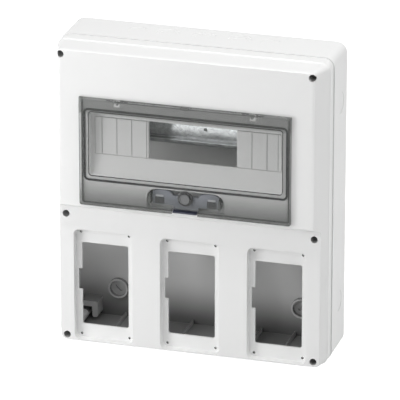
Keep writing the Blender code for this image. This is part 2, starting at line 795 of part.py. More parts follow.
def window_outline(margin):
    return rounded(
        -WINDOW_HALF_WIDTH - margin,
        WINDOW_HALF_WIDTH + margin,
        WINDOW_LOW - margin,
        WINDOW_HIGH + margin,
        WINDOW_CORNER + margin,
        SMALL_CORNER_STEPS,
    )


def window():
    """The tub behind the door, its sloping apron and the module opening in its floor."""
    raised = [front_plate("window_tub", [window_outline(WALL)], FRONT_Y + OVERLAP, PANEL_Y + WALL)]
    across = (-APERTURE_HALF_WIDTH, APERTURE_HALF_WIDTH)
    slope_y = FRONT_Y + APRON_DEPTH
    far_y = PANEL_Y + REACH
    apron = [
        (PANEL_Y, APERTURE_LOW - APRON_BELOW_APERTURE),
        (slope_y, WINDOW_LOW),
        (slope_y, WINDOW_LOW - REACH),
        (far_y, WINDOW_LOW - REACH),
        (far_y, APERTURE_LOW - APRON_BELOW_APERTURE - GAP),
    ]
    recess = front_plate("window", [window_outline(0)], FRONT_Y - REACH, PANEL_Y)
    sunk = [
        cut(recess, side_plate("apron", apron, -HALF_WIDTH, HALF_WIDTH)),
        box("aperture", across, (PANEL_Y - OVERLAP, PANEL_Y + REACH), (APERTURE_LOW, APERTURE_HIGH)),
    ]
    return raised, sunk


def pocket_outline(margin):
    """The latch's pocket: small round corners below, large ones above."""
    half = POCKET_HALF_WIDTH + margin
    low = POCKET_LOW - margin
    high = POCKET_HIGH + margin
    small = WINDOW_CORNER + margin
    large = POCKET_TOP_CORNER + margin
    return [
        *arc((half - large, high - large), large, 0, 1, CORNER_STEPS),
        *arc((large - half, high - large), large, 1, 2, CORNER_STEPS),
        *arc((small - half, low + small), small, 2, 3, SMALL_CORNER_STEPS),
        *arc((half - small, low + small), small, 3, 4, SMALL_CORNER_STEPS),
    ]


def latch_pocket():
    """The pocket that the latch works in, with a slot for each hook."""
    raised = [front_plate("pocket_tub", [pocket_outline(WALL)], FRONT_Y + OVERLAP, POCKET_Y + WALL)]
    sunk = [front_plate("pocket", [pocket_outline(0)], FRONT_Y - REACH, POCKET_Y)]
    half_slot = HOOK_WIDTH / 2 + HOOK_SLOT_PLAY
    height = (HOOK_LOW - HOOK_SLOT_BELOW, HOOK_LOW + HOOK_HEIGHT + HOOK_BARB + HOOK_SLOT_ABOVE)
    for side in SIDES.values():
        across = (side * HOOK_X - half_slot, side * HOOK_X + half_slot)
        sunk.append(box("hook_slot", across, (POCKET_Y - OVERLAP, POCKET_Y + REACH), height))
    return raised, sunk


def hinge_lugs():
    """Noses inside the door's top edge, each on a wedge that lies behind the pane."""
    root_y = FRONT_Y + OVERLAP
    behind_door = DOOR_BACK_Y + GAP + GAP
    nose = arc((HINGE_Y, HINGE_Z), LUG_RADIUS, -0.45, 3, 4 * SMALL_CORNER_STEPS)
    loop = [(root_y, nose[0][1] - GAP), *nose]
    loop += [(behind_door, HINGE_Z - BARREL_RADIUS), (root_y, HINGE_Z - LUG_FOOT)]
    raised, sunk = [], []
    for side in SIDES.values():
        middle = side * HINGE_X
        raised.append(side_plate("lug", loop, middle - LUG_WIDTH / 2, middle + LUG_WIDTH / 2))
        ends = (middle - LUG_WIDTH, middle + LUG_WIDTH)
        spot = (HINGE_Y, HINGE_Z)
        sunk.append(rod("pin_hole", PIN_RADIUS + PIN_PLAY, "x", *ends, spot, SMALL_ROUND_SIDES))
    return raised, sunk


def screw_towers():
    """Deep tubes that the cover screws go down, from the front to the base's bosses."""
    raised, sunk = [], []
    for side in SIDES.values():
        for row, (z, face_y) in SCREW_SPOTS.items():
            spot = (side * SCREW_X, z)
            root = TOWER_ROOT_DEPTH - OVERLAP if row == "top" else OVERLAP
            raised.append(rod("tower", TOWER_RADIUS, "y", face_y + root, BOSS_Y - GAP, spot))
            sunk.append(rod("bore", BORE_RADIUS, "y", FRONT_Y - REACH, SCREW_SEAT_Y, spot))
            ends = (SCREW_SEAT_Y - OVERLAP, BOSS_Y + REACH)
            sunk.append(rod("shank_hole", SHANK_RADIUS + GAP, "y", *ends, spot, SMALL_ROUND_SIDES))
    return raised, sunk


def make_front_cover():
    cover = loft("cover_body", cover_sections(0, 0, SEAM_Y - GAP))
    round_lower_edge(cut(cover, lower_front("lower_front", 0)))
    hollow = loft("cover_hollow", cover_sections(WALL, WALL, SEAM_Y + REACH))
    kept = [lower_front("lower_skin", WALL)]
    for side in SIDES.values():
        spot = (side * SCREW_X, SCREW_SPOTS["top"][0])
        kept.append(rod("tower_root", TOWER_ROOT_RADIUS, "y", FRONT_Y, FRONT_Y + TOWER_ROOT_DEPTH, spot))
    cut(cover, cut(hollow, *kept))
    raised, sunk = [], []
    for more, less in (screw_towers(), seats(), window(), latch_pocket(), hinge_lugs()):
        raised += more
        sunk += less
    cut(join(cover, *raised), *sunk)
    return shown(cover, "front_cover", "white_plastic")


def screw_profile(head, head_height, shank, seat_y, tip_y):
    """Head and shank, from the front backwards, with a small chamfer at the tip."""
    front = seat_y - head_height
    return [
        (0, front),
        (head - GAP, front),
        (head, front + GAP),
        (head, seat_y),
        (shank, seat_y),
        (shank, tip_y - shank),
        (shank / 2, tip_y),
        (0, tip_y),
    ]


def make_cover_screws():
    seat_y = SCREW_SEAT_Y - GAP
    profile = screw_profile(SCREW_HEAD_RADIUS, SCREW_HEAD_HEIGHT, SHANK_RADIUS, seat_y, BOSS_Y + SHANK_BITE)
    for row, (z, _) in SCREW_SPOTS.items():
        for name, side in SIDES.items():
            screw = turned("screw", profile, (side * SCREW_X, z))
            shown(screw, f"cover_screw_{row}_{name}", "steel")


# Module row


def make_blank_strips():
    """Snap-off blanks that fill the ends of the module opening, with a score line at each module."""
    low = APERTURE_LOW + STRIP_PLAY
    high = APERTURE_HIGH - STRIP_PLAY
    shelf = PANEL_Y + WALL + GAP
    back = shelf + STRIP_LIP_THICKNESS
    loop = [
        (PANEL_Y, low),
        (PANEL_Y, high),
        (shelf, high),
        (shelf, high + STRIP_LIP),
        (back, high + STRIP_LIP),
        (back, low - STRIP_LIP),
        (shelf, low - STRIP_LIP),
        (shelf, low),
    ]
    edge = APERTURE_HALF_WIDTH - STRIP_PLAY
    left_end = STRIP_LEFT_LENGTH - edge
    right_end = edge - STRIP_RIGHT_LENGTH
    strips = {
        "left": (-edge, left_end, left_end - SCORE_FROM_LEFT_END, -MODULE),
        "right": (right_end, edge, right_end + MODULE, MODULE),
    }
    for name, (start, end, score, pitch) in strips.items():
        strip = side_plate("strip", loop, start, end)
        scores = []
        while start + SCORE_AT_RIGHT_END < score < end - SCORE_AT_RIGHT_END / 2:
            scores.append(score)
            score += pitch
        if name == "right":
            scores.append(end - SCORE_AT_RIGHT_END)
        deep = (PANEL_Y - REACH, PANEL_Y + SCORE_DEPTH)
        grooves = []
        for x in scores:
            across = (x - SCORE_WIDTH / 2, x + SCORE_WIDTH / 2)
            grooves.append(box("score", across, deep, (low - GAP, high + GAP)))
        cut(strip, *grooves)
        shown(strip, f"blank_strip_{name}", "white_plastic")


def make_din_rail():
    inner = RAIL_INNER / 2
    outer = RAIL_HEIGHT / 2
    upper = [
        (RAIL_WEB_Y, inner),
        (RAIL_Y, inner),
        (RAIL_Y, outer),
        (RAIL_Y + RAIL_SHEET, outer),
        (RAIL_Y + RAIL_SHEET, inner + RAIL_SHEET),
        (RAIL_BACK_Y, inner + RAIL_SHEET),
    ]
    loop = upper + [(y, -z) for y, z in reversed(upper)]
    loop = [(y, z + RAIL_ABOVE_MIDDLE) for y, z in loop]
    rail = side_plate("rail", loop, -RAIL_HALF_LENGTH, RAIL_HALF_LENGTH)
    holes = []
    for x in (-PILLAR_X, RAIL_HOLE_X, PILLAR_X):
        ends = (RAIL_WEB_Y - OVERLAP, RAIL_BACK_Y + OVERLAP)
        spot = (x, RAIL_ABOVE_MIDDLE)
        holes.append(rod("rail_hole", RAIL_HOLE_RADIUS, "y", *ends, spot, SMALL_ROUND_SIDES))
    cut(rail, *holes)
    shown(rail, "din_rail", "galvanised")
    tip_y = RAIL_BACK_Y + GAP + RAIL_SCREW_BITE
    profile = screw_profile(
        RAIL_SCREW_HEAD, RAIL_SCREW_HEAD_HEIGHT, RAIL_SCREW_SHANK, RAIL_WEB_Y - GAP, tip_y
    )
    for name, side in SIDES.items():
        screw = turned("screw", profile, (side * PILLAR_X, RAIL_ABOVE_MIDDLE))
        shown(screw, f"rail_screw_{name}", "steel")


# Door


def skirt_outline():
    """A rib down both sides of the door and along its foot, set in from the edge."""
    top = HINGE_Z - BARREL_RADIUS - OVERLAP
    half = DOOR_HALF_WIDTH - SKIRT_INSET
    low = DOOR_LOW + SKIRT_INSET
    inner = half - SKIRT_WIDTH
    return [
        (-half, top),
        *arc((DOOR_CORNER - half, low + DOOR_CORNER), DOOR_CORNER, 2, 3, SMALL_CORNER_STEPS),
        *arc((half - DOOR_CORNER, low + DOOR_CORNER), DOOR_CORNER, 3, 4, SMALL_CORNER_STEPS),
        (half, top),
        (inner, top),
        (inner, low + SKIRT_WIDTH),
        (-inner, low + SKIRT_WIDTH),
        (-inner, top),
    ]


def ear_outline():
    back = FRONT_Y + EAR_BEHIND_FRONT
    return [
        (DOOR_BACK_Y - OVERLAP, PIVOT_Z - EAR_HALF_HEIGHT),
        (back - EAR_CHAMFER, PIVOT_Z - EAR_HALF_HEIGHT),
        (back, PIVOT_Z - EAR_HALF_HEIGHT + EAR_CHAMFER),
        (back, PIVOT_Z + EAR_HALF_HEIGHT - EAR_CHAMFER),
        (back - EAR_CHAMFER, PIVOT_Z + EAR_HALF_HEIGHT),
        (DOOR_BACK_Y - OVERLAP, PIVOT_Z + EAR_HALF_HEIGHT),
    ]


def make_window_door(hinge):
    half = DOOR_HALF_WIDTH
    pane = rounded(-half, half, DOOR_LOW, HINGE_Z, DOOR_CORNER, SMALL_CORNER_STEPS)
    door = front_plate("pane", [pane], DOOR_FRONT_Y, DOOR_BACK_Y)
    raised = [
        rod("barrel", BARREL_RADIUS, "x", -half, half, (HINGE_Y, HINGE_Z)),
        front_plate("skirt", [skirt_outline()], DOOR_BACK_Y - OVERLAP, FRONT_Y - GAP),
    ]
    through = (DOOR_FRONT_Y - REACH, FRONT_Y - GAP + OVERLAP)
    finger = (-FINGER_NOTCH_WIDTH / 2, FINGER_NOTCH_WIDTH / 2)
    grip = (-GRIP_SLOT_WIDTH / 2, GRIP_SLOT_WIDTH / 2)
    grip_top = DOOR_HIGH - GRIP_SLOT_FROM_TOP
    lock_ends = (DOOR_FRONT_Y - REACH, DOOR_BACK_Y + OVERLAP)
    sunk = [
        box("finger_notch", finger, through, (DOOR_LOW - REACH, DOOR_LOW + FINGER_NOTCH_HEIGHT)),
        box("grip_slot", grip, through, (grip_top - GRIP_SLOT_HEIGHT, grip_top)),
        rod("lock_hole", PLUG_RADIUS + GAP, "y", *lock_ends, (0, PLUG_Z)),
    ]
    slot_half = LUG_WIDTH / 2 + LIP_PLAY
    slot_span = (HINGE_Z - LUG_SLOT_DROP, DOOR_HIGH + REACH)
    slot_deep = (HINGE_Y, FRONT_Y + REACH)
    half_pin = PIN_LENGTH / 2 + GAP
    for side in SIDES.values():
        span = sorted((side * EAR_X, side * (EAR_X + EAR_THICKNESS)))
        raised.append(side_plate("ear", ear_outline(), *span))
        ends = (span[0] - OVERLAP, span[1] + OVERLAP)
        hole = LATCH_PIN_RADIUS + GAP
        sunk.append(rod("ear_hole", hole, "x", *ends, (PIVOT_Y, PIVOT_Z), SMALL_ROUND_SIDES))
        middle = side * HINGE_X
        ends = (middle - half_pin, middle + half_pin)
        spot = (HINGE_Y, HINGE_Z)
        sunk.append(rod("pin_hole", PIN_RADIUS + PIN_PLAY, "x", *ends, spot, SMALL_ROUND_SIDES))
        across = (middle - slot_half, middle + slot_half)
        sunk.append(rod("lug_room", LUG_RADIUS + LUG_PLAY, "x", *across, spot))
        sunk.append(box("lug_slot", across, slot_deep, slot_span))
    cut(join(door, *raised), *sunk)
    return shown(door, "window_door", "smoked_plastic", hinge)


def make_door_seal(hinge):
    outer = rounded(-SEAL_HALF_WIDTH, SEAL_HALF_WIDTH, SEAL_LOW, SEAL_HIGH, SEAL_CORNER)
    inner = rounded(
        SEAL_WIDTH - SEAL_HALF_WIDTH,
        SEAL_HALF_WIDTH - SEAL_WIDTH,
        SEAL_LOW + SEAL_WIDTH,
        SEAL_HIGH - SEAL_WIDTH,
        SEAL_CORNER - SEAL_WIDTH,
    )
    seal = front_plate("seal", [outer, inner], DOOR_BACK_Y + GAP, FRONT_Y - GAP)
    return shown(seal, "door_seal", "rubber", hinge)


def make_hinge_pins():
    for name, side in SIDES.items():
        middle = side * HINGE_X
        ends = (middle - PIN_LENGTH / 2, middle + PIN_LENGTH / 2)
        pin = rod("pin", PIN_RADIUS, "x", *ends, (HINGE_Y, HINGE_Z), SMALL_ROUND_SIDES)
        shown(pin, f"hinge_pin_{name}", "steel")


def make_lock_plug(hinge):
    ring_y = DOOR_BACK_Y + GAP
    profile = [
        (0, DOOR_FRONT_Y),
        (PLUG_RADIUS - GAP, DOOR_FRONT_Y),
        (PLUG_RADIUS, DOOR_FRONT_Y + GAP),
        (PLUG_RADIUS, ring_y),
        (PLUG_RING_RADIUS, ring_y),
        (PLUG_RING_RADIUS, ring_y + PLUG_RING_THICKNESS),
        (0, ring_y + PLUG_RING_THICKNESS),
    ]
    plug = turned("plug", profile, (0, PLUG_Z))
    return shown(plug, "lock_plug", "grey_plastic", hinge)


# Latch


def latch_outline():
    """A bridge with a dome at each end and a tab in the middle that carries the lip."""
    half = LATCH_HALF_WIDTH
    low = DOOR_LOW + LATCH_LOW
    bridge = low + LATCH_BRIDGE_HEIGHT
    middle = half - LATCH_DOME_INSET
    steps = 2 * CORNER_STEPS
    dome = []
    for step in range(steps + 1):
        angle = pi * step / steps
        x = middle + LATCH_DOME_WIDTH / 2 * cos(angle)
        if x < half:
            dome.append((x, bridge + LATCH_DOME_HEIGHT * sin(angle)))
    edge = (half - middle) / (LATCH_DOME_WIDTH / 2)
    corner = (half, bridge + LATCH_DOME_HEIGHT * sqrt(1 - edge * edge))
    tab = lip_half_width()
    right = [(tab, LEDGE_LOW), (tab, low), (half, low + GAP), corner, *dome]
    return right + [(-x, z) for x, z in reversed(right)]


def lip_half_width():
    return FINGER_NOTCH_WIDTH / 2 - LIP_PLAY


def lip_outline():
    """The finger lip: a ledge that comes forward under the hollow and turns down at its front edge."""
    front = DOOR_FRONT_Y + LIP_SETBACK
    low = DOOR_LOW + LIP_ABOVE_EDGE
    return [
        (front, low),
        (front + LIP_THICKNESS, low),
        (LATCH_Y + OVERLAP, LEDGE_LOW + GAP),
        (LATCH_Y + OVERLAP, LEDGE_HIGH),
        (front + LIP_THICKNESS, low + LIP_HEIGHT),
        (front, low + LIP_HEIGHT - GAP),
    ]


def hook_outline():
    floor_back = POCKET_Y + WALL
    tip = floor_back + HOOK_REACH
    barb = floor_back + GAP + GAP
    high = HOOK_LOW + HOOK_HEIGHT
    return [
        (LATCH_BACK_Y - OVERLAP, HOOK_LOW),
        (tip, HOOK_LOW),
        (tip, high),
        (tip - HOOK_BARB / 2, high + HOOK_BARB),
        (barb, high + HOOK_BARB),
        (barb, high),
        (LATCH_BACK_Y - OVERLAP, high),
    ]


def make_latch_handle(pivot):
    """A rocker with domed ends, a lip in the door's finger notch and two hooks behind it."""
    handle = front_plate("rocker", [latch_outline()], LATCH_Y, LATCH_BACK_Y)
    tab = lip_half_width()
    raised = [side_plate("lip", lip_outline(), GAP - tab, tab - GAP)]
    sunk = []
    well_low = DOOR_LOW + LATCH_LOW + LATCH_WELL_FROM_LOW
    for side in SIDES.values():
        middle = side * HOOK_X
        raised.append(side_plate("hook", hook_outline(), middle - HOOK_WIDTH / 2, middle + HOOK_WIDTH / 2))
        outer = LATCH_HALF_WIDTH - LATCH_WELL_FROM_SIDE
        left, right = sorted((side * outer, side * (outer - LATCH_WELL_WIDTH)))
        loop = rounded(left, right, well_low, well_low + LATCH_WELL_HEIGHT, OVERLAP, SMALL_CORNER_STEPS)
        sunk.append(front_plate("well", [loop], LATCH_Y - REACH, LATCH_Y + LATCH_WELL_DEPTH))
        start, end = latch_pin_ends(side)
        hole = LATCH_PIN_RADIUS + GAP
        ends = (start - side * GAP, end)
        sunk.append(rod("pin_hole", hole, "x", *ends, (PIVOT_Y, PIVOT_Z), SMALL_ROUND_SIDES))
    cut(join(handle, *raised), *sunk)
    return shown(handle, "latch_handle", "navy_plastic", pivot)


def latch_pin_ends(side):
    return side * (LATCH_PIN_END - LATCH_PIN_LENGTH), side * LATCH_PIN_END


def make_latch_pins(hinge):
    for name, side in SIDES.items():
        ends = latch_pin_ends(side)
        pin = rod("pin", LATCH_PIN_RADIUS, "x", *ends, (PIVOT_Y, PIVOT_Z), SMALL_ROUND_SIDES)
        shown(pin, f"latch_pin_{name}", "steel", hinge)


def shade(parts):
    """Round faces smooth, flat ones crisp."""
    for part in parts:
        if part.type == "MESH":
            part.data.shade_smooth()
            part.data.set_sharp_from_angle(angle=pi / 6)


make_rear_base()
make_base_gasket()
make_front_cover()
make_cover_screws()
make_blank_strips()
make_din_rail()
door_hinge = axis_empty("door_hinge_axis", HINGE_Y, HINGE_Z)
make_window_door(door_hinge)
make_door_seal(door_hinge)
make_hinge_pins()
make_lock_plug(door_hinge)
latch_pivot = axis_empty("latch_pivot_axis", PIVOT_Y, PIVOT_Z)
make_latch_handle(latch_pivot)
make_latch_pins(door_hinge)
shade(PARTS.objects)
switch_on(bpy.data.objects)
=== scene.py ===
import math

import bmesh
import bpy
from mathutils import Matrix, Vector
from mathutils.geometry import intersect_point_line


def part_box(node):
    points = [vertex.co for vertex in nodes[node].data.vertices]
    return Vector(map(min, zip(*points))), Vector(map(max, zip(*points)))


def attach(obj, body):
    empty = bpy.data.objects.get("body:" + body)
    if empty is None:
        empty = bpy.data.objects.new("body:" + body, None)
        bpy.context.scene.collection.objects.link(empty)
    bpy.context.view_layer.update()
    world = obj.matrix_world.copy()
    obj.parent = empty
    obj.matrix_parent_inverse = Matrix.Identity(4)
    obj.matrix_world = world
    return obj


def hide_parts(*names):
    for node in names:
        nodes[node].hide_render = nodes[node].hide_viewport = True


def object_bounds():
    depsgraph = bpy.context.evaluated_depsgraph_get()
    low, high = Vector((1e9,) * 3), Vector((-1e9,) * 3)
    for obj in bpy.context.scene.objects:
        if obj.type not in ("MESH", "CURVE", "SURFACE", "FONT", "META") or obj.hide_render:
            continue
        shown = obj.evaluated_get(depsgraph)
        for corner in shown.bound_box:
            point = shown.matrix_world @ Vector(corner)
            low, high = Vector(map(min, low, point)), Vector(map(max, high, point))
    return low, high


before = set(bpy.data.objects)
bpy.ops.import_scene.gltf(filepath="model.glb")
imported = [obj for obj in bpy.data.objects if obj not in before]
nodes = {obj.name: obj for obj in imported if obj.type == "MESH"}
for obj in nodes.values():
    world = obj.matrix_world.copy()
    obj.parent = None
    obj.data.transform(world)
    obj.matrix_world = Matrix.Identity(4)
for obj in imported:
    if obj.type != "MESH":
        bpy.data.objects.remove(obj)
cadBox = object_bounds()
scene = bpy.context.scene
scene.view_settings.view_transform = "Standard"
print("frame loaded:", len(nodes), "nodes")


def addObject(name, data):
    made = bpy.data.objects.new(name, data)
    scene.collection.objects.link(made)
    return made


# shader steps: a term is a number, a colour or another node's output
def feed(tree, socket, term):
    if isinstance(term, bpy.types.NodeSocket):
        tree.links.new(term, socket)
    else:
        socket.default_value = term


def addMath(tree, operation, *terms):
    step = tree.nodes.new("ShaderNodeMath")
    step.operation = operation
    for socket, term in zip(step.inputs, terms):
        feed(tree, socket, term)
    return step.outputs[0]


def addProduct(tree, first, second):
    # a Mix node's colours go in at 6 and 7 and come out at 2
    product = tree.nodes.new("ShaderNodeMix")
    product.data_type = "RGBA"
    product.blend_type = "MULTIPLY"
    product.inputs["Factor"].default_value = 1.0
    feed(tree, product.inputs[6], first)
    feed(tree, product.inputs[7], second)
    return product.outputs[2]


def addRange(tree, value, source, target, blend="LINEAR"):
    change = tree.nodes.new("ShaderNodeMapRange")
    change.interpolation_type = blend
    tree.links.new(value, change.inputs["Value"])
    for socket, limit in zip(("From Min", "From Max", "To Min", "To Max"), (*source, *target)):
        change.inputs[socket].default_value = limit
    return change.outputs["Result"]


def objectPlace(tree):
    return tree.nodes.new("ShaderNodeTexCoord").outputs["Object"]


def objectAxes(tree):
    axes = tree.nodes.new("ShaderNodeSeparateXYZ")
    tree.links.new(objectPlace(tree), axes.inputs["Vector"])
    return axes.outputs


# camera: a long lens from the right and above
view = {
    "azimuth": 16.2,  # degrees to the right of straight on
    "elevation": 21.34,
    "distance": 5.133,
    "target": (0.0044, -0.06, -0.0023),
    "lens": 407.7,  # mm, as is the frame
    "frameWidth": 36,
    "farthest": 60,
}


def makeCamera():
    around = math.radians(view["azimuth"])
    above = math.radians(view["elevation"])
    level = math.cos(above)
    away = Vector((math.sin(around) * level, -math.cos(around) * level, math.sin(above)))
    data = bpy.data.cameras.new("viewCamera")
    data.lens = view["lens"]
    data.sensor_width = view["frameWidth"]
    data.clip_end = view["farthest"]
    camera = addObject("viewCamera", data)
    camera.location = Vector(view["target"]) + away * view["distance"]
    camera.rotation_euler = (-away).to_track_quat("-Z", "Y").to_euler()
    scene.camera = camera


# studio: a pale floor, a soft white room, lamps all round, and two small ones inside the box
studio = {
    "floorSize": 30.0,
    "floorGap": 0.0002,
    "floorColor": (0.6, 0.6, 0.6),
    "floorLift": 1.0,  # light that only views and reflections see
    "room": (1.0, 1.0, 1.0),
    "roomStrength": 0.12,
    "aim": (0.0, -0.06, 0.0),
    "lamps": {
        "leftLamp": {"at": (-0.9, -0.8, 0.05), "size": 0.5, "power": 6.2},
        "frontLamp": {"at": (-0.5, -1.6, 1.2), "size": 0.8, "power": 8},
        "sideLamp": {"at": (1.5, -0.3, 0.85), "size": 1.2, "power": 12},
        "topLamp": {"at": (-0.2, -0.7, 2.4), "size": 1.2, "power": 23.5},
        "backLamp": {"at": (-0.1, 0.35, 2.4), "size": 1.4, "power": 12},
        "seatFill": {
            "at": (-0.135, -0.06, -0.035),
            "size": 0.03,
            "power": 0.012,
            "aim": (-0.125, 0.0, -0.1),
        },
        "innerFill": {
            "at": (-0.09, -0.07, 0.02),
            "size": 0.05,
            "power": 0.012,
            "aim": (-0.07, 0.0, 0.01),
        },
    },
}


def seenOnly(tree, strength, always=0.0):
    # light for views and reflections alone, so that the background is white
    path = tree.nodes.new("ShaderNodeLightPath")
    seen = path.outputs["Is Camera Ray"]
    for ray in ("Is Glossy Ray", "Is Transmission Ray"):
        seen = addMath(tree, "ADD", seen, path.outputs[ray])
        seen.node.use_clamp = True
    return addMath(tree, "MULTIPLY_ADD", seen, strength, always)


def makeRoom():
    world = bpy.data.worlds.new("room")
    world.use_nodes = True
    tree = world.node_tree
    background = tree.nodes["Background"]
    background.inputs["Color"].default_value = (*studio["room"], 1)
    light = seenOnly(tree, 1 - studio["roomStrength"], studio["roomStrength"])
    tree.links.new(light, background.inputs["Strength"])
    scene.world = world


def floorPaint():
    paint = bpy.data.materials.new("studioFloor")
    paint.use_nodes = True
    tree = paint.node_tree
    tree.nodes.clear()
    out = tree.nodes.new("ShaderNodeOutputMaterial")
    diffuse = tree.nodes.new("ShaderNodeBsdfDiffuse")
    diffuse.inputs["Color"].default_value = (*studio["floorColor"], 1)
    glow = tree.nodes.new("ShaderNodeEmission")
    tree.links.new(seenOnly(tree, studio["floorLift"]), glow.inputs["Strength"])
    both = tree.nodes.new("ShaderNodeAddShader")
    tree.links.new(diffuse.outputs[0], both.inputs[0])
    tree.links.new(glow.outputs[0], both.inputs[1])
    tree.links.new(both.outputs[0], out.inputs["Surface"])
    return paint


def makeFloor():
    floor = bmesh.new()
    bmesh.ops.create_grid(floor, x_segments=1, y_segments=1, size=studio["floorSize"] / 2)
    under = cadBox[0][2] - studio["floorGap"]
    bmesh.ops.translate(floor, verts=floor.verts, vec=(0, 0, under))
    mesh = bpy.data.meshes.new("studioFloor")
    floor.to_mesh(mesh)
    floor.free()
    floorObject = addObject("studioFloor", mesh)
    mesh.materials.append(floorPaint())


def makeLamps():
    for name, lamp in studio["lamps"].items():
        data = bpy.data.lights.new(name, "AREA")
        data.shape = "SQUARE"
        data.size = lamp["size"]
        data.energy = lamp["power"]
        light = addObject(name, data)
        light.location = lamp["at"]
        toward = Vector(lamp.get("aim", studio["aim"])) - Vector(lamp["at"])
        light.rotation_euler = toward.to_track_quat("-Z", "Y").to_euler()


# finishes: slow mottle for colour and polish, and the fine grain of a spark-eroded mould
mouldStart = {"Mottle Scale": 30.0, "Grain Scale": 2600.0, "Mottle": 0.04, "Polish": 0.08}
mouldDetail = {"Mottle": 4, "Grain": 2}
grainStart = {"strength": 0.05, "depth": 0.0001}


def mouldGroup():
    group = bpy.data.node_groups.new("mouldGrain", "ShaderNodeTree")
    for name, start in mouldStart.items():
        socket = group.interface.new_socket(name, in_out="INPUT", socket_type="NodeSocketFloat")
        socket.default_value = start
    for name in ("Tone", "Polish Shift", "Grain"):
        group.interface.new_socket(name, in_out="OUTPUT", socket_type="NodeSocketFloat")
    take = group.nodes.new("NodeGroupInput")
    give = group.nodes.new("NodeGroupOutput")
    place = objectPlace(group)
    noises = {}
    for name, detail in mouldDetail.items():
        noise = group.nodes.new("ShaderNodeTexNoise")
        noise.inputs["Detail"].default_value = detail
        group.links.new(place, noise.inputs["Vector"])
        group.links.new(take.outputs[name + " Scale"], noise.inputs["Scale"])
        noises[name] = noise.outputs["Fac"]
    middle = addMath(group, "SUBTRACT", noises["Mottle"], 0.5)
    tone = addMath(group, "MULTIPLY_ADD", middle, take.outputs["Mottle"], 1.0)
    polish = addMath(group, "MULTIPLY", middle, take.outputs["Polish"])
    group.links.new(tone, give.inputs["Tone"])
    group.links.new(polish, give.inputs["Polish Shift"])
    group.links.new(noises["Grain"], give.inputs["Grain"])
    return group


mouldGrain = mouldGroup()


def mouldedPaint(name, look):
    paint = bpy.data.materials.new(name)
    paint.use_nodes = True
    tree = paint.node_tree
    shader = tree.nodes["Principled BSDF"]
    shader.inputs["Metallic"].default_value = look.get("metallic", 0.0)
    shader.inputs["Alpha"].default_value = look.get("alpha", 1.0)
    surface = tree.nodes.new("ShaderNodeGroup")
    surface.node_tree = mouldGrain
    ownValues = {"Mottle Scale": "mottleScale", "Mottle": "mottle", "Polish": "polish"}
    for socket, key in ownValues.items():
        if key in look:
            surface.inputs[socket].default_value = look[key]
    color = addProduct(tree, (*look["color"], 1), surface.outputs["Tone"])
    if "spangle" in look:
        color = addProduct(tree, color, spangleTone(tree, look["spangle"]))
    if "shade" in look:
        color = addProduct(tree, color, shadeTone(tree, look["shade"]))
    tree.links.new(color, shader.inputs["Base Color"])
    polish = addMath(tree, "ADD", surface.outputs["Polish Shift"], look["roughness"])
    tree.links.new(polish, shader.inputs["Roughness"])
    bump = tree.nodes.new("ShaderNodeBump")
    bump.inputs["Strength"].default_value = look.get("grain", grainStart["strength"])
    bump.inputs["Distance"].default_value = grainStart["depth"]
    tree.links.new(surface.outputs["Grain"], bump.inputs["Height"])
    tree.links.new(bump.outputs["Normal"], shader.inputs["Normal"])
    if "smoke" in look:
        tree.links.new(smokeDepth(tree, look["smoke"]), shader.inputs["Alpha"])
    return paint


def shadeTone(tree, shade):
    # painted shade, darker towards the foot
    heights = (shade["low"], shade["high"])
    return addRange(tree, objectAxes(tree)["Z"], heights, (shade["dark"], 1), "SMOOTHSTEP")


def spangleTone(tree, spangle):
    # zinc crystals: cells of unlike brightness
    cells = tree.nodes.new("ShaderNodeTexVoronoi")
    cells.inputs["Scale"].default_value = spangle["scale"]
    tree.links.new(objectPlace(tree), cells.inputs["Vector"])
    shades = tree.nodes.new("ShaderNodeSeparateColor")
    tree.links.new(cells.outputs["Color"], shades.inputs["Color"])
    return addRange(tree, shades.outputs["Red"], (0, 1), (spangle["dark"], 1))


def smokeDepth(tree, smoke):
    # the tint is lightest over the window, and deeper outside the seal: partly a thicker tint,
    # partly painted shade on the cover behind the bands
    axes = objectAxes(tree)
    height = addRange(tree, axes["Z"], (smoke["low"], smoke["high"]), (0, 1))
    depth = tree.nodes.new("ShaderNodeValToRGB")
    stops = depth.color_ramp.elements
    while len(stops) < len(smoke["depth"]):
        stops.new(0.5)
    for stop, (at, value) in zip(stops, smoke["depth"]):
        stop.position = at
        stop.color = (value, value, value, 1)
    tree.links.new(height, depth.inputs["Fac"])
    side = addMath(tree, "ABSOLUTE", axes["X"])
    border = addRange(tree, side, smoke["borderFrom"], (0, smoke["border"]))
    total = addMath(tree, "ADD", depth.outputs["Color"], border)
    for spot in smoke["spots"].values():
        # distance from the spot's middle, in its own half sizes
        parts = []
        for source, at, half in zip((side, axes["Z"]), spot["at"], spot["half"]):
            offset = addMath(tree, "SUBTRACT", source, at)
            parts.append(addMath(tree, "ABSOLUTE", addMath(tree, "DIVIDE", offset, half)))
        reach = addMath(tree, "SMOOTH_MAX", *parts, smoke["spotCorner"])
        change = addRange(tree, reach, smoke["spotFade"], (0, spot["change"]))
        total = addMath(tree, "ADD", total, change)
    return total


